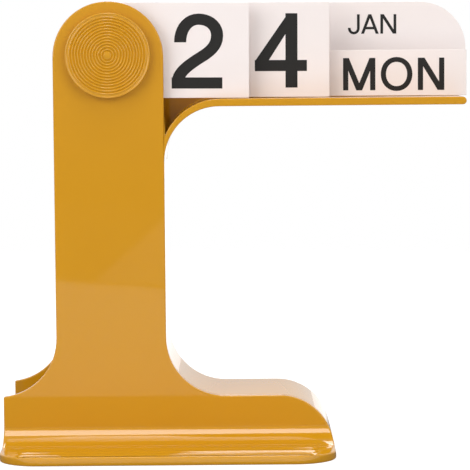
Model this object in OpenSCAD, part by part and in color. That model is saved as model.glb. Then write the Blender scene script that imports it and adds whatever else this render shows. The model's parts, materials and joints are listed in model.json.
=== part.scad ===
// Perpetual desk calendar. A hollow moulded post carries a shelf at the top right and a foot with a
// pen tray below. Every card turns on one sleeve in the head of the post: the cards of the day rest
// on the shelf, and the others are swung over the top and hang between the two plates of the post.
// X runs to the right, Y from the front to the back, Z up. The origin lies on the desk, below the
// pivot, in the plane of the front face.

/* [Body] */
// Radius of the round head; the post is twice as wide
head_r = 20; // [19:0.5:25]
// Height of the pivot above the desk
pivot_z = 144; // [138:0.5:180]
// Height of the pivot above the centre of the round head
pivot_rise = 0.5; // [0:0.1:1]
// Thickness of the front panel
panel_t = 2.6; // [2.4:0.1:3.2]
// Thickness of the back plate of the rear shell
back_t = 2.4; // [2.2:0.1:3.2]
// Wall of the rear shell along the arm, the foot and the floor
shell_t = 2.8; // [2:0.1:3.6]
// Wall of the rear shell on the right of the post, beside the hanging cards
post_wall_t = 1.6; // [1.2:0.1:1.8]

/* [Foot] */
// Height of the foot, and the radius of its right end
foot_h = 20; // [16:0.5:26]
// Reach of the foot to the left of the pivot
foot_left = 39.5; // [38:0.5:48]
// How far the rear shell stops short of the panel at the left end
rear_short = 0.4; // [0:0.1:1.5]
// Reach of the foot to the right of the pivot
foot_right = 81; // [76:0.5:100]
// Radius of the flares where the post runs into the foot
flare_r = 21.5; // [16:0.5:26]

/* [Arm] */
// Reach of the arm to the right of the pivot
arm_l = 129.5; // [110:0.5:155]
// Top of the shelf below the pivot
shelf_drop = 15.8; // [13.5:0.1:17.5]
// Radius under the corner of the post and the arm
corner_r = 20; // [16:0.5:26]
// Height of the rib that stiffens the back of the shelf
rib_h = 6; // [3:0.5:12]

/* [Cards] */
// Thickness of a card
card_t = 0.9; // [0.7:0.05:1.2]
// Gap between neighbouring cards
card_gap = 0.3; // [0.25:0.05:0.5]
// How far the round end of a card stays inside the head
card_inset = 0.4; // [0.3:0.1:1]
// Play under a level card before its outer corner rests on the shelf
card_play = 0.4; // [0.3:0.05:0.8]
// Length of the tens cards from the pivot
tens_l = 51; // [42:0.5:60]
// Length of the units cards from the pivot
units_l = 80.4; // [66:0.2:90]
// Length of the weekday cards from the pivot
day_l = 131.2; // [105:0.2:132]
// Length of the month cards from the pivot
month_l = 131.6; // [105:0.2:132.4]
// Top edge of the weekday cards above the pivot
day_top = 1.4; // [0:0.1:6]
// Radius of the outer top corner of the month cards
month_corner_r = 17; // [4:0.5:20]

/* [Date shown] */
// Tens of the date
shown_tens = "2"; // [1, 2, 3]
// Units of the date
shown_unit = "4"; // [0, 1, 2, 3, 4, 5, 6, 7, 8, 9]
// Weekday
shown_day = "mon"; // [mon, tue, wed, thu, fri, sat, sun]
// Month
shown_month = "jan"; // [jan, feb, mar, apr, may, jun, jul, aug, sep, oct, nov, dec]

/* [Pivot] */
// Outer radius of the sleeve that the cards turn on
sleeve_r = 5; // [4:0.5:6]
// Radial clearance of a card on the sleeve
card_fit = 0.08; // [0.04:0.01:0.1]
// Radius of the bolt through the sleeve
bolt_r = 2; // [1.5:0.25:2.5]
// Thickness of the washers at the two ends of the card stack
washer_t = 0.65; // [0.5:0.05:1.2]
// Radius of the two caps over the ends of the bolt
cap_r = 15.4; // [13:0.1:17]
// Height of the caps
cap_t = 3; // [2.8:0.1:4]
// Number of rings cut into the front cap
ring_count = 12; // [6:1:12]
// Distance between the rings
ring_pitch = 1.055; // [0.8:0.005:1.08]

/* [Pen tray] */
// Depth of the tray in front of the panel
tray_d = 32; // [28:0.5:45]
// Thickness of the tray floor
tray_t = 2.9; // [2.5:0.1:4]
// Height at which the cove of the tray meets the panel
cove_top = 8.2; // [6:0.1:11]
// Radius of the cove
cove_r = 13; // [10:0.5:16]
// Radius of the front corners, seen from above
tray_corner_r = 14.5; // [6:0.5:20]
// Width of a pen groove
groove_w = 6.2; // [4:0.1:6.2]
// Depth of a pen groove
groove_d = 0.9; // [0.3:0.1:0.9]

/* [Fasteners] */
// Shank radius of the screws that hold the front panel
screw_r = 1.4; // [1.2:0.1:1.6]
// Wall of the bosses that the screws run into
boss_wall = 1.7; // [1.4:0.1:2]

/* [Hidden] */
$fn = 96;
MUSTARD = [0.81, 0.6, 0.25];
CARD_WHITE = [0.95, 0.93, 0.91];
STEEL = [0.66, 0.67, 0.69];

// Small clearances
RUN_GAP = 0.3;       // side play at each end of the card stack, and beside the wall
FIT = 0.1;           // washers on the sleeve, caps in their recesses, screws in their holes
REST_GAP = 0.06;     // left under the corner of a card that rests on the shelf
PAST = 1;            // how far a cutting solid runs past the face that it cuts

// The cards: name, labels, length, height above the pivot, radius of the outer top corner, label shown
card_r = head_r - pivot_rise - card_inset;
card_low = shelf_drop - card_play;
card_bore_r = sleeve_r + card_fit;
NAME = 0;
LABELS = 1;
LENGTH = 2;
TOP = 3;
CORNER = 4;
SHOWN = 5;
KINDS = [
    ["tens_card", ["1", "2", "3"], tens_l, card_r, 0, shown_tens],
    ["units_card", ["0", "1", "2", "3", "4", "5", "6", "7", "8", "9"], units_l, card_r, 0, shown_unit],
    ["day_card", ["mon", "tue", "wed", "thu", "fri", "sat", "sun"], day_l, day_top, 0, shown_day],
    ["month_card", ["jan", "feb", "mar", "apr", "may", "jun", "jul", "aug", "sep", "oct", "nov", "dec"],
     month_l, card_r, month_corner_r, shown_month]
];
DECK = [for (kind = KINDS) for (label = kind[LABELS]) [str(kind[NAME], "_", label), kind, label]];

// Depth of the body: the two plates with the stack of cards and its washers between them
card_pitch = card_t + card_gap;
stack_d = len(DECK) * card_pitch - card_gap;
inner_d = stack_d + 2 * (washer_t + RUN_GAP);
back_y = panel_t + inner_d;
body_d = back_y + back_t;
first_card_y = panel_t + washer_t + RUN_GAP;

// Levels and centres of the outline
head_z = pivot_z - pivot_rise;
rear_left = foot_left - rear_short;
shelf_z = pivot_z - shelf_drop;
corner_x = head_r + corner_r;
corner_z = shelf_z - shell_t - corner_r;
wall_in = head_r - post_wall_t;
inner_bend_r = (shell_t + post_wall_t) / 2;

// Bolt, caps and recesses
head_h = 2.2;
head_bolt_r = 1.8 * bolt_r;
nut_h = 3;
nut_r = 2 * bolt_r;
recess_r = nut_r + 4;
recess_d = 1.2;
cap_top_t = 0.9;
spigot_t = 1.3;
rim_w = 2.1;
ring_cut_r = 0.45;
washer_r = sleeve_r + 3;

// Screws: centres in X and Z, a pilot hole in each boss, and a countersunk seat in the back plate
boss_r = screw_r + boss_wall;
floor_t = 2.4;
SCREWS = [
    [6 - foot_left, floor_t + boss_r + RUN_GAP],
    [head_r + 14, floor_t + boss_r + RUN_GAP],
    [foot_right - foot_h + 3, floor_t + boss_r + RUN_GAP]
];
screw_head_r = 2 * screw_r;
screw_head_h = 1.1;
pilot_l = 14;

// How a card hangs. The centre of gravity comes from thin upright slices of the card's outline.
SLICES = 160;
function disc_half(x) = abs(x) < card_r ? sqrt(card_r * card_r - x * x) : 0;
function corner_cut(x, kind) =
    let (into = x - (kind[LENGTH] - kind[CORNER]))
    into > 0 ? kind[CORNER] - sqrt(max(0, kind[CORNER] * kind[CORNER] - into * into)) : 0;
function above(x, kind) = x < 0 ? disc_half(x) : max(disc_half(x), kind[TOP] - corner_cut(x, kind));
function below(x) = x < 0 ? disc_half(x) : max(disc_half(x), card_low);
function total(list) = list * [for (item = list) 1];
function gravity_angle(kind) =
    let (
        step = (kind[LENGTH] + card_r) / SLICES,
        places = [for (i = [0:SLICES - 1]) (i + 0.5) * step - card_r],
        across = total([for (x = places) x * (above(x, kind) + below(x))]),
        upward = total([for (x = places) (pow(above(x, kind), 2) - pow(below(x), 2)) / 2])
    )
    atan2(upward, across);

// A full-height card leans on the wall of the post where its own weight would turn it further.
wall_depth = pivot_z - corner_z;
wall_reach = wall_in - RUN_GAP;
wall_angle = asin(card_r / norm([wall_depth, wall_reach])) - atan2(wall_reach, wall_depth);
function hang_angle(kind) =
    270 - (kind[TOP] < card_r ? gravity_angle(kind) : max(gravity_angle(kind), wall_angle));

// A shown card drops until its outer corner meets the shelf.
function rest_angle(kind) =
    atan2(card_low, kind[LENGTH]) - asin((shelf_drop - REST_GAP) / norm([kind[LENGTH], card_low]));
function card_angle(card) = card[2] == card[1][SHOWN] ? rest_angle(card[1]) : hang_angle(card[1]);

// A drawing of X and Z, made solid from y to y + depth
module along_y(y, depth) {
    translate([0, y + depth, 0]) rotate([90, 0, 0]) linear_extrude(depth) children();
}

module rod(r, y, depth, at = [0, pivot_z]) {
    translate([at[0], y + depth, at[1]]) rotate([90, 0, 0]) cylinder(r = r, h = depth);
}

module box_2d(x0, z0, x1, z1) {
    translate([x0, z0]) square([x1 - x0, z1 - z0]);
}

module disc_2d(x, z, r) {
    translate([x, z]) circle(r);
}

// The corner between the square's two outer sides and an arc about one end of its diagonal
module flare_2d(side) {
    flare_x = side * (head_r + flare_r);
    difference() {
        box_2d(min(side * head_r, flare_x), 0, max(side * head_r, flare_x), foot_h + flare_r);
        disc_2d(flare_x, foot_h + flare_r, flare_r);
    }
}

// Outline of the post and the foot, shared by both plates
module post_outline_2d(left = foot_left) {
    end_x = foot_right - foot_h;
    disc_2d(0, head_z, head_r);
    box_2d(-head_r, 0, head_r, head_z);
    box_2d(-left, 0, end_x, foot_h);
    intersection() {
        disc_2d(end_x, 0, foot_h);
        box_2d(end_x, 0, foot_right, foot_h);
    }
    intersection() {
        union() {
            flare_2d(-1);
            flare_2d(1);
        }
        box_2d(-left, 0, foot_right, head_z);
    }
}

// The corner under the arm: a band that widens from the wall of the post to the shelf
module arm_corner_2d() {
    bend_r = corner_r + inner_bend_r;
    intersection() {
        difference() {
            disc_2d(wall_in + bend_r, shelf_z - bend_r, bend_r);
            disc_2d(corner_x, corner_z, corner_r);
        }
        box_2d(wall_in, corner_z, wall_in + bend_r, shelf_z);
    }
}

module arm_2d() {
    tip_r = shell_t / 2;
    arm_corner_2d();
    box_2d(corner_x, shelf_z - shell_t, arm_l - tip_r, shelf_z);
    disc_2d(arm_l - tip_r, shelf_z - tip_r, tip_r);
}

// The floor, trimmed to the rounded end of the foot
module floor_2d() {
    intersection() {
        post_outline_2d(rear_left);
        box_2d(-rear_left, 0, foot_right, floor_t);
    }
}

// The wall from the top of the post's right side down to the end of the foot
module wall_2d() {
    end_x = foot_right - foot_h;
    bend_r = flare_r + inner_bend_r;
    box_2d(wall_in, foot_h + flare_r, head_r, corner_z);
    intersection() {
        difference() {
            disc_2d(head_r + flare_r, foot_h + flare_r, 2 * flare_r);
            disc_2d(head_r + flare_r, foot_h + flare_r, flare_r);
            box_2d(0, 0, wall_in, pivot_z);
            box_2d(0, 0, foot_right, foot_h - shell_t);
            difference() {
                box_2d(wall_in, foot_h - shell_t, wall_in + bend_r, foot_h - shell_t + bend_r);
                disc_2d(wall_in + bend_r, foot_h - shell_t + bend_r, bend_r);
            }
        }
        box_2d(wall_in, foot_h - shell_t, head_r + flare_r, foot_h + flare_r);
    }
    box_2d(head_r + flare_r, foot_h - shell_t, end_x, foot_h);
    intersection() {
        difference() {
            disc_2d(end_x, 0, foot_h);
            disc_2d(end_x, 0, foot_h - shell_t);
        }
        box_2d(end_x, 0, foot_right, foot_h);
    }
}

// The back plate also closes the corner under the arm and runs on as a low rib behind the cards.
module back_outline_2d() {
    rib_z = shelf_z + rib_h;
    rib_end = arm_l - shell_t / 2 - rib_h;
    post_outline_2d(rear_left);
    arm_2d();
    difference() {
        box_2d(0, corner_z, corner_x, rib_z);
        disc_2d(corner_x, corner_z, corner_r);
    }
    box_2d(corner_x, shelf_z - shell_t, rib_end, rib_z);
    intersection() {
        disc_2d(rib_end, shelf_z, rib_h);
        box_2d(rib_end, shelf_z, rib_end + rib_h, rib_z);
    }
}

// Section of the tray in Y and Z: a flat floor with a low lip, and a cove up to the panel
module tray_section_2d() {
    cove_w = sqrt(pow(cove_r, 2) - pow(cove_r - (cove_top - tray_t), 2));
    lip_w = 1.6;
    lip_h = 0.3;
    difference() {
        box_2d(-tray_d, 0, 0, cove_top);
        box_2d(lip_w - tray_d, tray_t, -cove_w, cove_top + PAST);
        box_2d(-tray_d - PAST, tray_t + lip_h, lip_w - tray_d + PAST, cove_top + PAST);
        disc_2d(-cove_w, tray_t + cove_r, cove_r);
    }
}

module tray_plan_2d() {
    box_2d(-foot_left, tray_corner_r - tray_d, foot_right, 0);
    box_2d(tray_corner_r - foot_left, -tray_d, foot_right - tray_corner_r, 0);
    for (x = [tray_corner_r - foot_left, foot_right - tray_corner_r]) {
        disc_2d(x, tray_corner_r - tray_d, tray_corner_r);
    }
}

// A shallow round-ended groove along X, cut by a large rod
module pen_groove(y) {
    end_gap = 6;
    rod_r = (pow(groove_w / 2, 2) + pow(groove_d, 2)) / (2 * groove_d);
    from_x = groove_w / 2 + end_gap - foot_left;
    to_x = foot_right - end_gap - groove_w / 2;
    translate([0, y, tray_t - groove_d + rod_r]) {
        translate([from_x, 0, 0]) rotate([0, 90, 0]) cylinder(r = rod_r, h = to_x - from_x);
        for (x = [from_x, to_x]) translate([x, 0, 0]) sphere(rod_r);
    }
}

module pen_tray() {
    land = 0.3;
    lip_room = 1.9;
    difference() {
        intersection() {
            translate([-foot_left, 0, 0]) rotate([90, 0, 90]) linear_extrude(foot_left + foot_right)
                tray_section_2d();
            linear_extrude(cove_top) tray_plan_2d();
            along_y(-tray_d, tray_d) post_outline_2d();
        }
        for (i = [0:2]) pen_groove(lip_room + (i + 0.5) * (groove_w + land) - tray_d);
    }
}

module front_panel() {
    color(MUSTARD) difference() {
        union() {
            along_y(0, panel_t) post_outline_2d();
            pen_tray();
            for (at = SCREWS) rod(boss_r, panel_t, inner_d, at);
        }
        rod(recess_r, -PAST, recess_d + PAST);
        rod(bolt_r + FIT, 0, panel_t + PAST);
        for (at = SCREWS) rod(screw_r + FIT / 2, back_y - pilot_l, pilot_l + PAST, at);
    }
}

module rear_shell() {
    color(MUSTARD) difference() {
        union() {
            along_y(panel_t, inner_d) {
                wall_2d();
                arm_2d();
                floor_2d();
            }
            along_y(back_y, back_t) back_outline_2d();
            intersection() {
                along_y(0, panel_t) arm_2d();
                translate([head_r, 0, 0]) cube([arm_l, panel_t, pivot_z]);
            }
        }
        rod(bolt_r + FIT, back_y - PAST, back_t + 2 * PAST);
        rod(recess_r, body_d - recess_d, recess_d + PAST);
        for (at = SCREWS) {
            rod(screw_r + FIT, back_y - PAST, back_t + 2 * PAST, at);
            rod(screw_head_r + FIT, body_d - screw_head_h, screw_head_h + PAST, at);
        }
    }
}

module pivot_sleeve() {
    color(STEEL) difference() {
        rod(sleeve_r, panel_t, inner_d);
        rod(bolt_r + FIT, panel_t - PAST, inner_d + 2 * PAST);
    }
}

module pivot_bolt() {
    nut_y = body_d - recess_d;
    color(STEEL) {
        difference() {
            rod(head_bolt_r, recess_d - head_h, head_h);
            along_y(recess_d - head_h - PAST, PAST + head_h / 2)
                translate([0, pivot_z]) circle(bolt_r, $fn = 6);
        }
        rod(bolt_r, recess_d, nut_y + nut_h - recess_d);
    }
}

module pivot_nut() {
    color(STEEL) difference() {
        along_y(body_d - recess_d, nut_h) translate([0, pivot_z]) circle(nut_r, $fn = 6);
        rod(bolt_r + FIT / 2, body_d - recess_d - PAST, nut_h + 2 * PAST);
    }
}

// Half section of a cap in radius and height: a hollow disc with a spigot that presses into its recess
module cap_section_2d(rings) {
    spigot_r = recess_r - FIT / 2;
    difference() {
        union() {
            box_2d(0, 0, cap_r, cap_t);
            box_2d(spigot_r - spigot_t, FIT - recess_d, spigot_r, 0);
        }
        box_2d(0, FIT - recess_d, spigot_r - spigot_t, cap_t - cap_top_t);
        for (i = [0:1:rings - 1]) {
            disc_2d(cap_r - rim_w - i * ring_pitch, cap_t + ring_cut_r / 3, ring_cut_r);
        }
    }
}

module front_cap() {
    color(MUSTARD) translate([0, 0, pivot_z]) rotate([90, 0, 0]) rotate_extrude() cap_section_2d(ring_count);
}

module rear_cap() {
    color(MUSTARD) translate([0, body_d, pivot_z]) rotate([-90, 0, 0]) rotate_extrude() cap_section_2d(0);
}

module end_washers() {
    color(STEEL) for (y = [panel_t, back_y - washer_t]) difference() {
        rod(washer_r, y, washer_t);
        rod(sleeve_r + FIT, y - PAST, washer_t + 2 * PAST);
    }
}

module shell_screws() {
    slot_w = 0.6;
    grip_l = 12;
    color(STEEL) for (at = SCREWS) difference() {
        union() {
            rod(screw_r, back_y - grip_l, grip_l + back_t - screw_head_h, at);
            rod(screw_head_r, body_d - screw_head_h, screw_head_h, at);
        }
        translate([at[0] - screw_head_r, body_d - screw_head_h / 2, at[1] - slot_w / 2])
            cube([2 * screw_head_r, screw_head_h, slot_w]);
    }
}

// Outline of a card as it lies level on the shelf, about the pivot
module card_2d(kind) {
    length = kind[LENGTH];
    top = kind[TOP];
    corner = kind[CORNER];
    difference() {
        union() {
            circle(card_r);
            box_2d(0, -card_low, length - corner, top);
            box_2d(0, -card_low, length, top - corner);
            if (corner > 0) disc_2d(length - corner, top - corner, corner);
        }
        circle(card_bore_r);
    }
}

module card(index) {
    color(CARD_WHITE) translate([0, first_card_y + index * card_pitch, pivot_z])
        rotate([0, -card_angle(DECK[index]), 0]) along_y(0, card_t) card_2d(DECK[index][1]);
}

front_panel();
rear_shell();
pivot_sleeve();
pivot_bolt();
pivot_nut();
front_cap();
rear_cap();
end_washers();
shell_screws();
for (i = [0:len(DECK) - 1]) {
    card(i);
}
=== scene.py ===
import json
import math

import bpy
from mathutils import Matrix, Vector
from mathutils.geometry import delaunay_2d_cdt


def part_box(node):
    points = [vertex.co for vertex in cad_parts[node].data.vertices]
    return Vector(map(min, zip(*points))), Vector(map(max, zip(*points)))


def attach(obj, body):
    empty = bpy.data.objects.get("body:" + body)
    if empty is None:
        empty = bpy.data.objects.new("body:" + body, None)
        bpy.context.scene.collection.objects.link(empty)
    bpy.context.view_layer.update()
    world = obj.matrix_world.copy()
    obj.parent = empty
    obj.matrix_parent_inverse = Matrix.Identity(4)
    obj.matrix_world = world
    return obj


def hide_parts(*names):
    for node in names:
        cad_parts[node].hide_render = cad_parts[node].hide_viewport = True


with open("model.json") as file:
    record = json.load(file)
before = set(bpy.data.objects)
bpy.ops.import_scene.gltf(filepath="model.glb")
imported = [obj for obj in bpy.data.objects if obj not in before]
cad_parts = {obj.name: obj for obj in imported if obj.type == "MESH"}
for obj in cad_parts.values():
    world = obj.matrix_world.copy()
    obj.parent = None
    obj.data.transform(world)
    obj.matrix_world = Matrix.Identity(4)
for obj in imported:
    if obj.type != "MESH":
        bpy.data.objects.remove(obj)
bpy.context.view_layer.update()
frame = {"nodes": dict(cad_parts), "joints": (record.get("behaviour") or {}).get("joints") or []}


# Camera: a long lens a little under a metre before the calendar, level with its head. It is turned a hair,
# so the shelf rises to the right.
FOCAL_PIXELS = 2450.0
FRAME_PIXELS = 470.0
CAMERA_PLACE = (0.04537, -0.88565, 0.14914)
PITCH_DOWN = 4.544
ROLL = -0.469
NEAREST_SEEN = 0.01

camera_data = bpy.data.cameras.new("camera")
camera_data.lens = camera_data.sensor_width * FOCAL_PIXELS / FRAME_PIXELS
camera_data.clip_start = NEAREST_SEEN
camera = bpy.data.objects.new("camera", camera_data)
bpy.context.scene.collection.objects.link(camera)
camera.matrix_world = (
    Matrix.Translation(CAMERA_PLACE)
    @ Matrix.Rotation(math.radians(90 - PITCH_DOWN), 4, "X")
    @ Matrix.Rotation(math.radians(ROLL), 4, "Z")
)
bpy.context.scene.camera = camera
bpy.context.scene.view_settings.view_transform = "Standard"


# Lamps: five soft boxes. One hangs high before the calendar and draws the bright line along its tray, two
# light it from the left and the right, one hangs behind it, and the widest lights it faintly from the back.
LAMPS = {
    "strip_lamp": dict(place=(-0.06, -0.42, 1.5), aim=(-0.06, -0.42, 0.0), size=(0.46, 0.68), radiance=6.6),
    "left_lamp": dict(place=(-1.10, -1.2, 0.70), aim=(0.04, 0.0, 0.08), size=(1.4, 1.2), radiance=2.75),
    "right_lamp": dict(place=(1.15, -1.2, 0.70), aim=(0.04, 0.0, 0.08), size=(1.4, 1.2), radiance=2.15),
    "rear_lamp": dict(place=(-0.05, 1.35, 1.15), aim=(-0.05, 0.0, 0.0), size=(0.45, 1.0), radiance=4.5),
    "sweep_lamp": dict(place=(0.05, 1.6, 0.7), aim=(0.05, 0.0, 0.3), size=(4.0, 2.0), radiance=0.3),
}


def soft_lamp(name, place, aim, size, radiance):
    """A rectangular lamp, as bright all over its face, that the camera doesn't see."""
    lamp = bpy.data.lights.new(name, "AREA")
    lamp.shape = "RECTANGLE"
    lamp.size, lamp.size_y = size
    lamp.energy = radiance * math.pi * size[0] * size[1]
    holder = bpy.data.objects.new(name, lamp)
    bpy.context.scene.collection.objects.link(holder)
    holder.location = place
    holder.rotation_euler = (Vector(aim) - Vector(place)).to_track_quat("-Z", "Y").to_euler()
    holder.visible_camera = False


for name, numbers in LAMPS.items():
    soft_lamp(name, **numbers)


# Room: the plain studio that the gloss plastic mirrors. It is lightest at the sides and behind, dimmer above
# and in front, and dark low in front. The camera itself sees plain white.
WHITE = (1.0, 1.0, 1.0, 1.0)
SIDE_ROOM = 0.65
TOP_ROOM = 0.5
FRONT_ROOM = 0.45
LOW_ROOM = 0.18
# Where one part of the room passes into the next, on the way's Y or Z from -1 to 1.
FRONT_TO_SIDE = (-0.8, 0.1)
SIDE_TO_TOP = (0.35, 0.65)
LOW_TO_FRONT = (-0.09, 0.02)


class Net:
    """One node tree: any node by its type, settings and inputs."""

    def __init__(self, owner):
        owner.use_nodes = True
        self.tree = owner.node_tree
        self.tree.nodes.clear()

    def node(self, kind, settings=None, **inputs):
        """Inputs go by name, with _ for a space, or by number as i0, i1."""
        made = self.tree.nodes.new(kind)
        for name, value in (settings or {}).items():
            setattr(made, name, value)
        for name, value in inputs.items():
            key = int(name[1:]) if name[0] == "i" and name[1:].isdigit() else name.replace("_", " ")
            if isinstance(value, Socket):
                self.tree.links.new(value.link, made.inputs[key])
            else:
                made.inputs[key].default_value = value
        return Socket(self, made)

    def mix(self, factor, first, second):
        """A colour that goes from the first to the second."""
        return self.node("ShaderNodeMix", {"data_type": "RGBA"}, Factor=factor, i6=first, i7=second)[2]


class Socket:
    """An output of a node, with Python's arithmetic on numbers."""

    def __init__(self, net, made, output=0):
        self.net = net
        self.made = made
        self.link = made.outputs[output] if len(made.outputs) else None

    def __getitem__(self, output):
        return Socket(self.net, self.made, output)

    def maths(self, operation, first, second):
        return self.net.node("ShaderNodeMath", {"operation": operation}, i0=first, i1=second)

    def __add__(self, other):
        return self.maths("ADD", self, other)

    def __rsub__(self, other):
        return self.maths("SUBTRACT", other, self)

    def __mul__(self, other):
        return self.maths("MULTIPLY", self, other)

    def __lt__(self, other):
        return self.maths("LESS_THAN", self, other)

    __radd__ = __add__
    __rmul__ = __mul__

    def maximum(self, other):
        return self.maths("MAXIMUM", self, other)

    def soft_step(self, low, high):
        """From 0 to 1 with soft ends, as the value goes from low to high."""
        smooth = {"interpolation_type": "SMOOTHSTEP"}
        return self.net.node("ShaderNodeMapRange", smooth, Value=self, From_Min=low, From_Max=high)


def grey(level):
    return (level, level, level, 1.0)


world = bpy.data.worlds.new("room")
bpy.context.scene.world = world
net = Net(world)
seen_by_camera = net.node("ShaderNodeLightPath")["Is Camera Ray"]
way = net.node("ShaderNodeSeparateXYZ", Vector=net.node("ShaderNodeTexCoord")["Generated"])
in_front = net.mix(way["Z"].soft_step(*LOW_TO_FRONT), grey(LOW_ROOM), grey(FRONT_ROOM))
round_it = net.mix(way["Z"].soft_step(*SIDE_TO_TOP), grey(SIDE_ROOM), grey(TOP_ROOM))
room = net.mix(way["Y"].soft_step(*FRONT_TO_SIDE), in_front, round_it)
sky = net.node("ShaderNodeBackground", Color=net.mix(seen_by_camera, room, WHITE), Strength=1.0)
net.node("ShaderNodeOutputWorld", Surface=sky)


# Table: a matt board, dark before the calendar and white behind it, that the camera sees pale and fading out
# into white. It is clear from below and to light that starts on it, so the underside of the foot shows.
TABLE_CORNERS = [(-1.6, -1.4), (1.6, -1.4), (1.6, 2.2), (-1.6, 2.2)]
TABLE_HEIGHT = -0.00005
FRONT_TONE = 0.2
REAR_TONE = 0.85
SEEN_TONE = 0.5
REAR_GLOW = 0.4
SEEN_GLOW = 0.7
FRONT_TO_REAR = (0.04, 0.12)
SEEN_TO_WHITE = (0.35, 0.9)
CONTACT_REACH = 0.0003


def matt_paint(net, tone, glow, unseen):
    """A matt surface with some light of its own, clear where unseen is 1."""
    matt = net.node("ShaderNodeBsdfDiffuse", Color=tone)
    lift = net.node("ShaderNodeEmission", Color=WHITE, Strength=glow)
    lit = net.node("ShaderNodeAddShader", i0=matt, i1=lift)
    clear = net.node("ShaderNodeBsdfTransparent")
    shader = net.node("ShaderNodeMixShader", Fac=unseen, i1=lit, i2=clear)
    net.node("ShaderNodeOutputMaterial", Surface=shader)


def flat_sheet(name, corners, height, paint):
    """A flat sheet of the studio, given by its corners seen from above."""
    bpy.ops.object.select_all(action="DESELECT")
    bpy.ops.mesh.primitive_plane_add(size=1)
    sheet = bpy.context.object
    sheet.name = name
    face = sheet.data.polygons[0]
    for index, (x, y) in zip(face.vertices, corners):
        sheet.data.vertices[index].co = (x, y, height)
    sheet.data.materials.append(paint)
    return sheet


table_paint = bpy.data.materials.new("table_top")
net = Net(table_paint)
light_path = net.node("ShaderNodeLightPath")
seen_by_camera = light_path["Is Camera Ray"]
touching = light_path["Ray Length"] < CONTACT_REACH
underside = net.node("ShaderNodeNewGeometry")["Backfacing"]
place = net.node("ShaderNodeTexCoord")["Object"]
from_middle = net.node("ShaderNodeVectorMath", {"operation": "LENGTH"}, i0=place)["Value"]
fading = from_middle.soft_step(*SEEN_TO_WHITE) * seen_by_camera
behind = net.node("ShaderNodeSeparateXYZ", Vector=place)["Y"].soft_step(*FRONT_TO_REAR)
board = net.mix(behind, grey(FRONT_TONE), grey(REAR_TONE))
matt_paint(
    net,
    tone=net.mix(seen_by_camera, board, grey(SEEN_TONE)),
    glow=SEEN_GLOW * seen_by_camera + REAR_GLOW * behind * (1 - seen_by_camera),
    unseen=underside.maximum(touching).maximum(fading),
)
flat_sheet("table", TABLE_CORNERS, TABLE_HEIGHT, table_paint)


# Sheets: three sheets of white paper that lie on the table before the calendar, for its gloss plastic to
# mirror. They show only from above, and never to the camera.
SHEET_HEIGHT = 0.0005
SHEETS = {
    "close_sheet": {
        "corners": [(-0.33, -0.053), (0.27, -0.053), (0.27, -0.035), (-0.33, -0.035)],
        "tone": 0.85,
        "glow": 0.5,
    },
    "near_sheet": {
        "corners": [(-0.33, -0.83), (0.27, -0.383), (0.27, -0.135), (-0.33, -0.135)],
        "tone": 0.85,
        "glow": 0.0,
    },
    "far_sheet": {
        "corners": [(-0.042, -0.63), (-0.005, -1.30), (0.40, -1.35), (0.40, -0.35)],
        "tone": 0.45,
        "glow": 0.0,
    },
}

for name, paper in SHEETS.items():
    paper_paint = bpy.data.materials.new(f"{name}_paper")
    net = Net(paper_paint)
    underside = net.node("ShaderNodeNewGeometry")["Backfacing"]
    matt_paint(net, grey(paper["tone"]), paper["glow"], underside)
    flat_sheet(name, paper["corners"], SHEET_HEIGHT, paper_paint).visible_camera = False


# Front panel: one injection moulding of gloss mustard plastic, the round-headed post on its flared foot
# with the pen tray in front. Its edges carry the small radius of the mould, and the screws from the rear
# shell run into its bosses.
PANEL_EDGE = 0.0005
MOULD_STEPS = 3
MUSTARD = (0.600, 0.285, 0.010, 1.0)
MUSTARD_DEEP = (0.575, 0.266, 0.009, 1.0)
# Roughness of the gloss faces, and what flow marks and scratches add to it.
PLASTIC_GLOSS = 0.025
FLOW_DULLS = 0.015
SCRATCH_DULLS = 0.02
FLOW_SCALE = 22.0
SCRATCH_SCALE = (40.0, 40.0, 1900.0)
SCRATCH_TURN = (0.3, 0.9, 0.4)
SCRATCH_SPAN = (0.62, 0.72)
SINK_SCALE = 45.0
SINK_DEPTH = 0.0004
SKIN_SCALE = 2600.0
SKIN_DEPTH = 0.00003
FAINT = 0.02
# What counts as one point, as a flat face and as a smooth one when a CAD node is copied.
ONE_POINT = 0.00002
FLAT_WITHIN = math.radians(0.3)
SMOOTH_WITHIN = math.radians(32)


def mustard_plastic(name, gloss):
    """Plastic coloured through: faint flow marks, sink and the fine scratches of handling."""
    paint = bpy.data.materials.new(name)
    net = Net(paint)
    place = net.node("ShaderNodeTexCoord")["Object"]
    flow = net.node("ShaderNodeTexNoise", Vector=place, Scale=FLOW_SCALE, Detail=3.0, Distortion=0.6)["Fac"]
    turned = net.node("ShaderNodeMapping", Vector=place, Rotation=SCRATCH_TURN, Scale=SCRATCH_SCALE)
    scratch = net.node("ShaderNodeTexNoise", Vector=turned, Scale=1.0, Detail=2.0)["Fac"]
    first, full = SCRATCH_SPAN
    scratched = net.node("ShaderNodeMapRange", Value=scratch, From_Min=first, From_Max=full)
    sink = net.node("ShaderNodeTexNoise", Vector=place, Scale=SINK_SCALE, Detail=1.0)["Fac"]
    waves = net.node("ShaderNodeBump", Height=sink, Strength=FAINT, Distance=SINK_DEPTH)
    speckle = net.node("ShaderNodeTexNoise", Vector=place, Scale=SKIN_SCALE, Detail=1.0)["Fac"]
    skin = net.node("ShaderNodeBump", Height=speckle, Strength=FAINT, Distance=SKIN_DEPTH, Normal=waves)
    shader = net.node(
        "ShaderNodeBsdfPrincipled",
        Base_Color=net.mix(flow, MUSTARD_DEEP, MUSTARD),
        Roughness=gloss + FLOW_DULLS * flow + SCRATCH_DULLS * scratched,
        IOR=1.5,
        Normal=skin,
    )
    net.node("ShaderNodeOutputMaterial", Surface=shader)
    return paint


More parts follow.
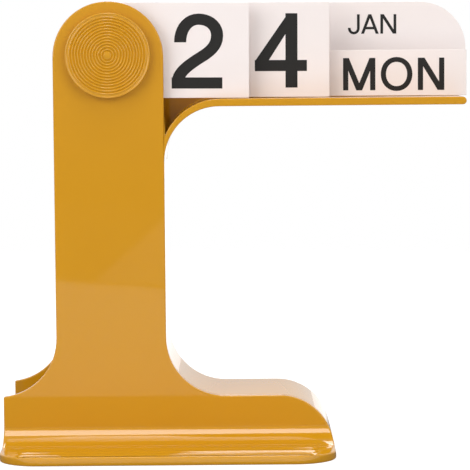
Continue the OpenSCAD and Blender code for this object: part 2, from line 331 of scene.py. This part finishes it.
def moulded_copy(node, name, edge, steps, paint):
    """A copy of a CAD node with its flat faces joined and its sharp edges rounded."""
    mesh = frame["nodes"][node].data.copy()
    mesh.materials.clear()
    piece = bpy.data.objects.new(name, mesh)
    bpy.context.scene.collection.objects.link(piece)
    bpy.ops.object.select_all(action="DESELECT")
    bpy.context.view_layer.objects.active = piece
    piece.select_set(True)
    bpy.ops.object.mode_set(mode="EDIT")
    bpy.ops.mesh.select_all(action="SELECT")
    bpy.ops.mesh.remove_doubles(threshold=ONE_POINT)
    bpy.ops.mesh.dissolve_limited(angle_limit=FLAT_WITHIN)
    bpy.ops.object.mode_set(mode="OBJECT")
    rounding = piece.modifiers.new("rounding", "BEVEL")
    rounding.width = edge
    rounding.segments = steps
    rounding.limit_method = "ANGLE"
    rounding.angle_limit = SMOOTH_WITHIN
    rounding.use_clamp_overlap = False
    bpy.ops.object.modifier_apply(modifier=rounding.name)
    bpy.ops.object.shade_smooth_by_angle(angle=SMOOTH_WITHIN)
    flat = piece.modifiers.new("flat_faces", "WEIGHTED_NORMAL")
    flat.keep_sharp = True
    bpy.ops.object.modifier_apply(modifier=flat.name)
    piece.data.materials.append(paint)
    return piece


mustard = mustard_plastic("mustard_plastic", PLASTIC_GLOSS)
panel = moulded_copy("front_panel", "front_panel_moulding", PANEL_EDGE, MOULD_STEPS, mustard)
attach(panel, "housing")
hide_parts("front_panel")


# Rear shell: the second mustard moulding. Its back plate repeats the outline of the panel, and its curved
# wall makes the shelf, the corner under it, the right side of the post and the top of the foot. Three screws
# and the pivot bolt hold it to the panel.
SHELL_EDGE = 0.0004

shell = moulded_copy("rear_shell", "rear_shell_moulding", SHELL_EDGE, MOULD_STEPS, mustard)
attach(shell, "housing")
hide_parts("rear_shell")


# Pivot: a steel tube that the cards turn on, a washer at each end of the stack, and the bolt and nut that
# clamp the two plates onto the tube. They are turned parts, brushed and a little dull.
STEEL_EDGE = 0.0001
STEEL_STEPS = 2
STEEL = (0.58, 0.58, 0.60, 1.0)
STEEL_DARK = (0.44, 0.44, 0.46, 1.0)
STEEL_GLOSS = 0.24
LATHE_SCALE = (60.0, 5200.0, 60.0)
LATHE_DULLS = 0.14
LATHE_DEPTH = 0.00002
STAIN_SCALE = 260.0
STAIN_DULLS = 0.10


def turned_steel():
    """Plain steel with fine lines round the Y axis and faint stains."""
    paint = bpy.data.materials.new("turned_steel")
    net = Net(paint)
    place = net.node("ShaderNodeTexCoord")["Object"]
    lines = net.node("ShaderNodeMapping", Vector=place, Scale=LATHE_SCALE)
    brushed = net.node("ShaderNodeTexNoise", Vector=lines, Scale=1.0, Detail=2.0)["Fac"]
    stain = net.node("ShaderNodeTexNoise", Vector=place, Scale=STAIN_SCALE, Detail=3.0)["Fac"]
    grooves = net.node("ShaderNodeBump", Height=brushed, Strength=0.25, Distance=LATHE_DEPTH)
    shader = net.node(
        "ShaderNodeBsdfPrincipled",
        Base_Color=net.mix(stain, STEEL_DARK, STEEL),
        Metallic=1.0,
        Roughness=STEEL_GLOSS + LATHE_DULLS * brushed + STAIN_DULLS * stain,
        Normal=grooves,
    )
    net.node("ShaderNodeOutputMaterial", Surface=shader)
    return paint


steel = turned_steel()
for node in ("pivot_sleeve", "pivot_bolt", "pivot_nut", "end_washers"):
    metal = moulded_copy(node, f"{node}_turned", STEEL_EDGE, STEEL_STEPS, steel)
    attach(metal, "housing")
    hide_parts(node)


# Cards: thirty-two plates stamped from white plastic sheet, satin on both faces, each with a round head
# that turns on the tube. The cards of the day lie on the shelf, and the others hang in the post.
CARD_EDGE = 0.00015
CARD_STEPS = 2
CARD_WHITE = (0.860, 0.785, 0.765, 1.0)
CARD_SHADE = (0.835, 0.762, 0.742, 1.0)
CARD_GLOSS = 0.32
SHADE_SCALE = 35.0
TOOTH_SCALE = 3800.0
TOOTH_DULLS = 0.08
TOOTH_DEPTH = 0.00002


def satin_sheet():
    """White sheet plastic, a little uneven in tone, with a fine tooth."""
    paint = bpy.data.materials.new("white_card_sheet")
    net = Net(paint)
    place = net.node("ShaderNodeTexCoord")["Object"]
    tone = net.node("ShaderNodeTexNoise", Vector=place, Scale=SHADE_SCALE, Detail=4.0)["Fac"]
    tooth = net.node("ShaderNodeTexNoise", Vector=place, Scale=TOOTH_SCALE, Detail=2.0)["Fac"]
    shader = net.node(
        "ShaderNodeBsdfPrincipled",
        Base_Color=net.mix(tone, CARD_SHADE, CARD_WHITE),
        Roughness=CARD_GLOSS + TOOTH_DULLS * tooth,
        IOR=1.45,
        Normal=net.node("ShaderNodeBump", Height=tooth, Strength=0.10, Distance=TOOTH_DEPTH),
    )
    net.node("ShaderNodeOutputMaterial", Surface=shader)
    return paint


sheet_white = satin_sheet()
card_bodies = {}
for node in frame["nodes"]:
    if "_card_" in node:
        body = node.replace("_card", "")
        plate = moulded_copy(node, f"{body}_plate", CARD_EDGE, CARD_STEPS, sheet_white)
        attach(plate, body)
        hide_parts(node)
        card_bodies[node] = body


# Printing: dark ink laid on the front face of every card, digits on the date cards and the short names of
# the days and months on the others. Each sign is drawn with a broad pen that is wider across than it is
# high, so upright strokes come out heavier than level ones.
INK = (0.015, 0.0135, 0.0125, 1.0)
INK_DEEP = (0.012, 0.011, 0.010, 1.0)
INK_GLOSS = 0.42
GRAIN_SCALE = 2400.0
GRAIN_DULLS = 0.10
GRAIN_DEPTH = 0.00001
INK_RISE = 0.00004
INK_SINK = 0.00001
CURVE_STEPS = 9
BEND = 0.58
# A sign is worked out in millimetres. Below these, two spots are one and a stroke counts as square.
MILLIMETRES = 1000
ONE_SPOT = 1e-7
JOIN_WITHIN = 1e-4
SQUARE_WITHIN = 1e-3
PRINT_FLAT_WITHIN = math.radians(0.5)

# Width and side room of each sign in parts of its height, and its strokes. A stroke starts at M. L goes
# straight on, V bends from upright to level, H from level to upright, and C is a free curve. D is a slanted
# bar cut level at its ends. All these run in a box from 0 to 1, along the middle of the pen. F is a filled
# outline, in parts of the height.
SIGNS = {
    "0": (0.69, 0.05, 0.05, "M 0 .42 L 0 .58 V .5 1.02 H 1 .58 L 1 .42 V .5 -.02 H 0 .42"),
    "1": (0.40, 0.15, 0.20, "M 1 0 L 1 1 F 0 .712 L .33 .712 L .33 1 L .262 1 C .235 .87 .16 .808 0 .808"),
    "2": (0.70, 0.05, 0.05, "M .0625 .638 V .52 1 H .983 .745 C .983 .55 .72 .46 .49 .37 "
                            "C .26 .27 0 .17 0 0 M 0 0 L 1.11 0"),
    "3": (0.69, 0.05, 0.05, "M .06 .69 V .49 1.02 H .94 .765 V .50 .545 L .34 .545 "
                            "M .34 .545 L .50 .545 H 1 .265 V .49 -.02 H 0 .30"),
    "4": (0.71, 0.04, 0.04, "F 0 .355 L .18 .355 L .418 .727 L .575 .727 L .575 1 L .449 1 "
                            "M .755 0 L .755 1 M -.148 .262 L 1.135 .262"),
    "5": (0.69, 0.05, 0.05, "M .16 1 L 1.08 1 F .125 1 L .285 1 L .207 .52 L .155 .45 L .035 .45 "
                            "M .09 .47 C .18 .57 .32 .64 .50 .64 H 1 .30 V .48 -.02 H 0 .28"),
    "6": (0.69, 0.05, 0.05, "M .95 .73 V .55 1.02 H 0 .47 V .49 -.02 H 1 .29 V .51 .60 H .02 .29"),
    "7": (0.69, 0.05, 0.05, "M 0 1 L 1 1 M .93 .96 C .70 .72 .34 .36 .34 -.088"),
    "8": (0.69, 0.05, 0.05, "M .07 .775 V .5 1.02 H .93 .775 V .5 .545 H .07 .775 "
                            "M 0 .265 V .5 .545 H 1 .265 V .5 -.02 H 0 .265"),
    "9": (0.69, 0.05, 0.05, "M .05 .27 V .45 -.02 H 1 .53 V .51 1.02 H 0 .71 V .49 .40 H .98 .71"),
    "A": (0.91, 0.01, 0.01, "D 0 0 .5 1 D 1 0 .5 1 M .2 .26 L .8 .26"),
    "B": (0.77, 0.10, 0.05, "M 0 0 L 0 1 M 0 1 L .50 1 H .93 .765 V .50 .53 L 0 .53 "
                            "M 0 .53 L .50 .53 H 1 .265 V .50 0 L 0 0"),
    "C": (0.89, 0.05, 0.04, "M .96 .69 V .52 1.03 H 0 .5 V .52 -.03 H 1 .34"),
    "D": (0.83, 0.10, 0.05, "M 0 0 L 0 1 M 0 1 L .40 1 H 1 .5 V .40 0 L 0 0"),
    "E": (0.74, 0.10, 0.04, "M 0 0 L 0 1 M 0 1 L 1 1 M 0 .53 L 1.06 .53 M 0 0 L 1.16 0"),
    "F": (0.69, 0.10, 0.03, "M 0 0 L 0 1 M 0 1 L 1 1 M 0 .50 L 1.02 .50"),
    "G": (0.92, 0.05, 0.08, "M .93 .70 V .50 1.03 H 0 .5 V .50 -.03 H .93 .42 M .53 .43 L 1.03 .43 "
                            "M 1 0 L 1 .43"),
    "H": (0.79, 0.10, 0.10, "M 0 0 L 0 1 M 1 0 L 1 1 M 0 .52 L 1 .52"),
    "I": (0.16, 0.12, 0.12, "M .5 0 L .5 1"),
    "J": (0.61, 0.03, 0.08, "M 1 1 L 1 .26 V .49 -.03 H 0 .28"),
    "L": (0.66, 0.10, 0.02, "M 0 0 L 0 1 M 0 0 L 1 0"),
    "M": (1.00, 0.10, 0.10, "M 0 0 L 0 1 M 1 0 L 1 1 D 0 1 .5 0 D 1 1 .5 0"),
    "N": (0.82, 0.10, 0.10, "M 0 0 L 0 1 M 1 0 L 1 1 D 0 1 1 0"),
    "O": (0.98, 0.05, 0.05, "M 0 .5 V .5 1.03 H 1 .5 V .5 -.03 H 0 .5"),
    "P": (0.75, 0.10, 0.05, "M 0 0 L 0 1 M 0 1 L .50 1 H 1 .73 V .50 .46 L 0 .46"),
    "R": (0.82, 0.10, 0.03, "M 0 0 L 0 1 M 0 1 L .52 1 H .96 .755 V .52 .51 L 0 .51 "
                            "M .50 .51 L .55 .51 H .93 .27 C .93 .15 .98 .12 .98 0"),
    "S": (0.82, 0.05, 0.05, "M .94 .70 V .50 1.03 H .04 .76 C .04 .61 .24 .565 .50 .51 "
                            "C .78 .45 1 .41 1 .245 V .50 -.03 H 0 .31"),
    "T": (0.81, 0.02, 0.02, "M 0 1 L 1 1 M .5 0 L .5 1"),
    "U": (0.79, 0.10, 0.10, "M 0 1 L 0 .34 V .5 -.03 H 1 .34 L 1 1"),
    "V": (0.88, 0.01, 0.01, "D 0 1 .5 0 D 1 1 .5 0"),
    "W": (1.27, 0.01, 0.01, "D 0 1 .26 0 D .5 1 .26 0 D .5 1 .74 0 D 1 1 .74 0"),
    "Y": (0.90, 0.01, 0.01, "D 0 1 .5 .42 D 1 1 .5 .42 M .5 0 L .5 .42"),
}


class Lettering:
    """One size of lettering. Its height, base line and left end or middle, measured from the pivot, are in
    metres. The widths of its upright and level strokes and its spacing are parts of its height."""

    def __init__(self, height, upright, level, base, left=None, middle=None, spacing=0.0):
        self.height = height
        self.upright = upright * height
        self.level = level * height
        self.base = base
        self.left = left
        self.middle = middle
        self.spacing = spacing

    def room(self, sign):
        """The box in which the middle of the pen moves: its width and its height."""
        return SIGNS[sign][0] * self.height - self.upright, self.height - self.level

    def in_box(self, sign, x, y):
        width, height = self.room(sign)
        return Vector((self.upright / 2 + x * width, self.level / 2 + y * height))

    def curve(self, start, end, first, second, steps):
        """Points of a curve, each with its direction."""
        trail = []
        for step in range(steps + 1):
            t = step / steps
            s = 1 - t
            spot = s**3 * start + 3 * s * s * t * first + 3 * s * t * t * second + t**3 * end
            run = s * s * (first - start) + 2 * s * t * (second - first) + t * t * (end - second)
            trail.append((spot, run.normalized()))
        return trail

    def step(self, letter, numbers, start, to_metres):
        """The points of one piece of a stroke from start on."""
        spots = [to_metres(numbers[i], numbers[i + 1]) for i in range(0, len(numbers), 2)]
        end = spots[-1]
        if letter == "C":
            return self.curve(start, end, spots[0], spots[1], CURVE_STEPS)
        if letter == "L":
            return self.curve(start, end, start.lerp(end, 1 / 3), start.lerp(end, 2 / 3), 1)
        across = Vector((end.x - start.x, 0.0)) * BEND
        upward = Vector((0.0, end.y - start.y)) * BEND
        first, second = (upward, across) if letter == "V" else (across, upward)
        return self.curve(start, end, start + first, end - second, CURVE_STEPS)

    def pen_edges(self, spot, run):
        reach = Vector((-run.y * self.upright / 2, run.x * self.level / 2))
        return spot + reach, spot - reach

    def drawn(self, trail, ends):
        """The quads that the pen covers along a trail; ends tells which of its two ends are squared off."""
        if ends[0]:
            spot, run = trail[0]
            trail.insert(0, (spot - Vector((run.x * self.upright / 2, run.y * self.level / 2)), run))
        if ends[1]:
            spot, run = trail[-1]
            trail.append((spot + Vector((run.x * self.upright / 2, run.y * self.level / 2)), run))
        edges = [self.pen_edges(spot, run) for spot, run in trail]
        quads = []
        for (left, right), (next_left, next_right) in zip(edges, edges[1:]):
            if max((next_left - left).length, (next_right - right).length) > ONE_SPOT:
                quads.append([left, right, next_right, next_left])
        return quads

    def slanted(self, sign, numbers):
        """A slanted bar, cut level. An end inside the box is as wide as an upright stroke."""
        x0, y0, x1, y1 = numbers
        width, height = self.room(sign)
        lean = math.hypot((x1 - x0) * width, height * (y1 - y0)) / (height * abs(y1 - y0))
        wide = self.upright * lean
        full = SIGNS[sign][0] * self.height
        corners = []
        for x, y, order in ((x0, y0, 1), (x1, y1, -1)):
            at_end = y in (0, 1)
            half = wide / 2 if at_end else self.upright / 2
            centre = half + x * (full - 2 * half)
            level = y * self.height if at_end else self.in_box(sign, x, y).y
            corners += [Vector((centre - order * half, level)), Vector((centre + order * half, level))]
        return [corners]

    def patches(self, sign):
        """All the flat pieces of one sign, which may lie over each other."""
        patches = []
        groups = []
        for word in SIGNS[sign][3].split():
            if word.isalpha():
                groups.append((word, []))
            else:
                groups[-1][1].append(float(word))
        index = 0
        while index < len(groups):
            letter, numbers = groups[index]
            index += 1
            if letter == "D":
                patches += self.slanted(sign, numbers)
                continue
            filled = letter == "F"

            def to_metres(x, y):
                return Vector((x, y)) * self.height if filled else self.in_box(sign, x, y)

            first = last = numbers
            trail = [(to_metres(*numbers), None)]
            while index < len(groups) and groups[index][0] in "LHVC":
                letter, numbers = groups[index]
                index += 1
                last = numbers[-2:]
                more = self.step(letter, numbers, trail[-1][0], to_metres)
                if trail[-1][1] is None:
                    trail = more
                else:
                    trail += more[1:]
            if filled:
                patches.append([spot for spot, _ in trail])
            else:
                ends = [self.on_border(first, trail[0][1]), self.on_border(last, trail[-1][1])]
                patches += self.drawn(trail, ends)
        return patches

    def on_border(self, end, run):
        """Whether a stroke ends square against the edge of the box."""
        upright = abs(run.x) < SQUARE_WITHIN
        level = abs(run.y) < SQUARE_WITHIN
        return (upright and end[1] in (0, 1)) or (level and end[0] in (0, 1))

    def width(self, text):
        between = sum(SIGNS[here][2] + SIGNS[there][1] + self.spacing for here, there in zip(text, text[1:]))
        return self.height * (between + sum(SIGNS[sign][0] for sign in text))

    def outline(self, text):
        """Flat faces of a whole word, each sign made one by a triangulation of its patches."""
        spots = []
        faces = []
        along = self.left if self.middle is None else self.middle - self.width(text) / 2
        for index, sign in enumerate(text):
            if index:
                along += self.height * (SIGNS[sign][1] + self.spacing)
            corners = []
            patches = []
            for patch in self.patches(sign):
                if sum(here.cross(there) for here, there in zip(patch, patch[1:] + patch[:1])) < 0:
                    patch.reverse()
                patches.append(list(range(len(corners), len(corners) + len(patch))))
                corners += [spot * MILLIMETRES for spot in patch]
            union = delaunay_2d_cdt(corners, [], patches, 0, JOIN_WITHIN)
            start = len(spots)
            spots += [(along + spot.x / MILLIMETRES, self.base + spot.y / MILLIMETRES) for spot in union[0]]
            faces += [[start + i for i in face] for face, source in zip(union[2], union[5]) if source]
            along += self.height * (SIGNS[sign][0] + SIGNS[sign][2])
        return spots, faces


LETTERINGS = {
    "tens": Lettering(0.0271, upright=0.162, level=0.149, base=-0.01199, middle=0.03240),
    "units": Lettering(0.0271, upright=0.162, level=0.149, base=-0.01199, middle=0.06275),
    "day": Lettering(0.01189, upright=0.162, level=0.150, base=-0.01339, left=0.0857, spacing=0.019),
    "month": Lettering(0.00720, upright=0.140, level=0.130, base=0.00741, left=0.0879, spacing=-0.022),
}


def ink_paint():
    """Screen-printed ink, a warm near-black with a slight gloss."""
    paint = bpy.data.materials.new("printing_ink")
    net = Net(paint)
    place = net.node("ShaderNodeTexCoord")["Object"]
    grain = net.node("ShaderNodeTexNoise", Vector=place, Scale=GRAIN_SCALE, Detail=3.0)["Fac"]
    shader = net.node(
        "ShaderNodeBsdfPrincipled",
        Base_Color=net.mix(grain, INK_DEEP, INK),
        Roughness=INK_GLOSS + GRAIN_DULLS * grain,
        IOR=1.36,
        Normal=net.node("ShaderNodeBump", Height=grain, Strength=0.08, Distance=GRAIN_DEPTH),
    )
    net.node("ShaderNodeOutputMaterial", Surface=shader)
    return paint


def card_direction(node, pivot):
    """The way a card points from its pivot: that of its longest straight edge."""
    mesh = frame["nodes"][node].data
    edges = [[mesh.vertices[i].co for i in edge.vertices] for edge in mesh.edges]
    first, second = max(edges, key=lambda ends: (ends[0] - ends[1]).length)
    if (first - pivot).length > (second - pivot).length:
        first, second = second, first
    return Vector((second.x - first.x, 0.0, second.z - first.z)).normalized()


ink = ink_paint()
pivots = {joint["child"]: Vector(joint["pos_m"]) for joint in frame["joints"]}
for node, body in card_bodies.items():
    kind, text = body.split("_")
    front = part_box(node)[0][1]
    pivot = pivots[body]
    along = card_direction(node, pivot)
    upward = Vector((-along.z, 0.0, along.x))
    spots, faces = LETTERINGS[kind].outline(text.upper())
    mesh = bpy.data.meshes.new(f"{body}_print")
    origin = Vector((pivot.x, front + INK_SINK, pivot.z))
    mesh.from_pydata([origin + u * along + v * upward for u, v in spots], [], faces)
    printing = bpy.data.objects.new(f"{body}_print", mesh)
    bpy.context.scene.collection.objects.link(printing)
    bpy.ops.object.select_all(action="DESELECT")
    bpy.context.view_layer.objects.active = printing
    printing.select_set(True)
    bpy.ops.object.mode_set(mode="EDIT")
    bpy.ops.mesh.select_all(action="SELECT")
    bpy.ops.mesh.dissolve_limited(angle_limit=PRINT_FLAT_WITHIN)
    bpy.ops.mesh.extrude_region_move(TRANSFORM_OT_translate={"value": (0.0, -INK_SINK - INK_RISE, 0.0)})
    bpy.ops.mesh.select_all(action="SELECT")
    bpy.ops.mesh.normals_make_consistent(inside=False)
    bpy.ops.object.mode_set(mode="OBJECT")
    mesh.materials.append(ink)
    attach(printing, body)


# Front cap: a satin mustard disc with twelve close rings inside a plain rim with a faint dish, hollow behind.
# It is moulded and pressed into the recess of the panel, over the head of the bolt.
RING_COUNT = 12
RING_PITCH = 0.001055
RING_DEPTH = 0.00042
RING_SHARPNESS = 1.4
RING_POINTS = 8
RIM_WIDTH = 0.0021
RIM_DISH = [(0.00060, 0.0001), (0.00085, 0.0002), (0.00120, 0.0002), (0.00145, 0.0001), (0.00155, 0.0)]
CAP_ROUND = 0.00045
CAP_WALL = 0.0009
SPIGOT_RADIUS = 0.00795
SPIGOT_WALL = 0.0013
SPIN_STEPS = 180
SPIN_JOIN_WITHIN = 0.000001
CAP_SMOOTH_WITHIN = math.radians(40)
START_SIZE = 0.001
CAP_GLOSS = 0.17


def quarter_round(radius, top, size, steps=4):
    """The rounded outer edge of a disc, from its side to its top."""
    turns = [math.radians(90) * i / steps for i in range(steps + 1)]
    return [(radius - size + size * math.cos(turn), top - size + size * math.sin(turn)) for turn in turns]


def ring_wave(radius, top):
    """Radius and height across the rings, from the rim in to the centre."""
    outer = radius - RIM_WIDTH + RING_PITCH / 2
    count = RING_COUNT * RING_POINTS
    places = [outer - RING_PITCH * i / RING_POINTS for i in range(count + 1)]
    dips = [0.5 - 0.5 * math.cos(2 * math.pi * (outer - r) / RING_PITCH) for r in places]
    return [(r, top - RING_DEPTH * dip**RING_SHARPNESS) for r, dip in zip(places, dips)]


def spun_cap(name, profile, base, forwards, paint):
    """A disc whose half section is drawn point by point and spun round the pivot."""
    pivot = pivots["tens_1"]
    axis_point = Vector((pivot.x, base, pivot.z))
    spots = [axis_point + Vector((r, forwards * h, 0.0)) for r, h in profile]
    bpy.ops.object.select_all(action="DESELECT")
    bpy.ops.mesh.primitive_plane_add(size=START_SIZE, location=spots[0])
    cap = bpy.context.object
    cap.name = name
    bpy.ops.object.transform_apply(location=True, rotation=True, scale=True)
    bpy.ops.object.mode_set(mode="EDIT")
    bpy.ops.mesh.select_all(action="SELECT")
    bpy.ops.mesh.merge(type="CENTER")
    for here, there in zip(spots, spots[1:]):
        bpy.ops.mesh.extrude_region_move(TRANSFORM_OT_translate={"value": there - here})
    bpy.ops.mesh.select_all(action="SELECT")
    bpy.ops.mesh.spin(steps=SPIN_STEPS, angle=2 * math.pi, center=axis_point, axis=(0.0, 1.0, 0.0))
    bpy.ops.mesh.select_all(action="SELECT")
    bpy.ops.mesh.remove_doubles(threshold=SPIN_JOIN_WITHIN)
    bpy.ops.mesh.normals_make_consistent(inside=False)
    bpy.ops.object.mode_set(mode="OBJECT")
    bpy.ops.object.shade_smooth_by_angle(angle=CAP_SMOOTH_WITHIN)
    cap.data.materials.clear()
    cap.data.materials.append(paint)
    return cap


def cap_back(radius, top, depth):
    """The hollow back of a cap: its inner face, the spigot and the flat ring that meets the plate."""
    bore = SPIGOT_RADIUS - SPIGOT_WALL
    return [(0.0, top - CAP_WALL), (bore, top - CAP_WALL), (bore, -depth), (SPIGOT_RADIUS, -depth),
            (SPIGOT_RADIUS, 0.0), (radius, 0.0)]


low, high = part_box("front_cap")
cap_radius = (high[0] - low[0]) / 2
cap_top = -low[1]
section = cap_back(cap_radius, cap_top, high[1]) + quarter_round(cap_radius, cap_top, CAP_ROUND)
section += [(cap_radius - inward, cap_top - fall) for inward, fall in RIM_DISH]
section += ring_wave(cap_radius, cap_top) + [(0.0, cap_top)]
satin_mustard = mustard_plastic("satin_mustard_plastic", CAP_GLOSS)
front_cap = spun_cap("front_cap_rings", section, 0.0, -1, satin_mustard)
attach(front_cap, "housing")
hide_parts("front_cap")


# Rear cap: the same satin mustard disc without the rings, pressed into the back of the rear shell over the
# nut. Its face is slightly dished inside the rim.
REAR_DISH = 0.0002
DISH_SLOPE = 0.5 * RIM_WIDTH

low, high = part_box("rear_cap")
rear_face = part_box("rear_shell")[1][1]
cap_top = high[1] - rear_face
dish_radius = cap_radius - RIM_WIDTH
dish_floor = cap_top - REAR_DISH
section = cap_back(cap_radius, cap_top, rear_face - low[1]) + quarter_round(cap_radius, cap_top, CAP_ROUND)
section += [(dish_radius, cap_top), (dish_radius - DISH_SLOPE, dish_floor), (0.0, dish_floor)]
rear_cap = spun_cap("rear_cap_disc", section, rear_face, 1, satin_mustard)
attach(rear_cap, "housing")
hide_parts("rear_cap")


# Screws: three slotted countersunk steel screws in the foot. They go in from behind, flush with the back
# plate of the rear shell, and run into the bosses of the panel.
screws = moulded_copy("shell_screws", "shell_screws_turned", STEEL_EDGE, STEEL_STEPS, steel)
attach(screws, "housing")
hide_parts("shell_screws")
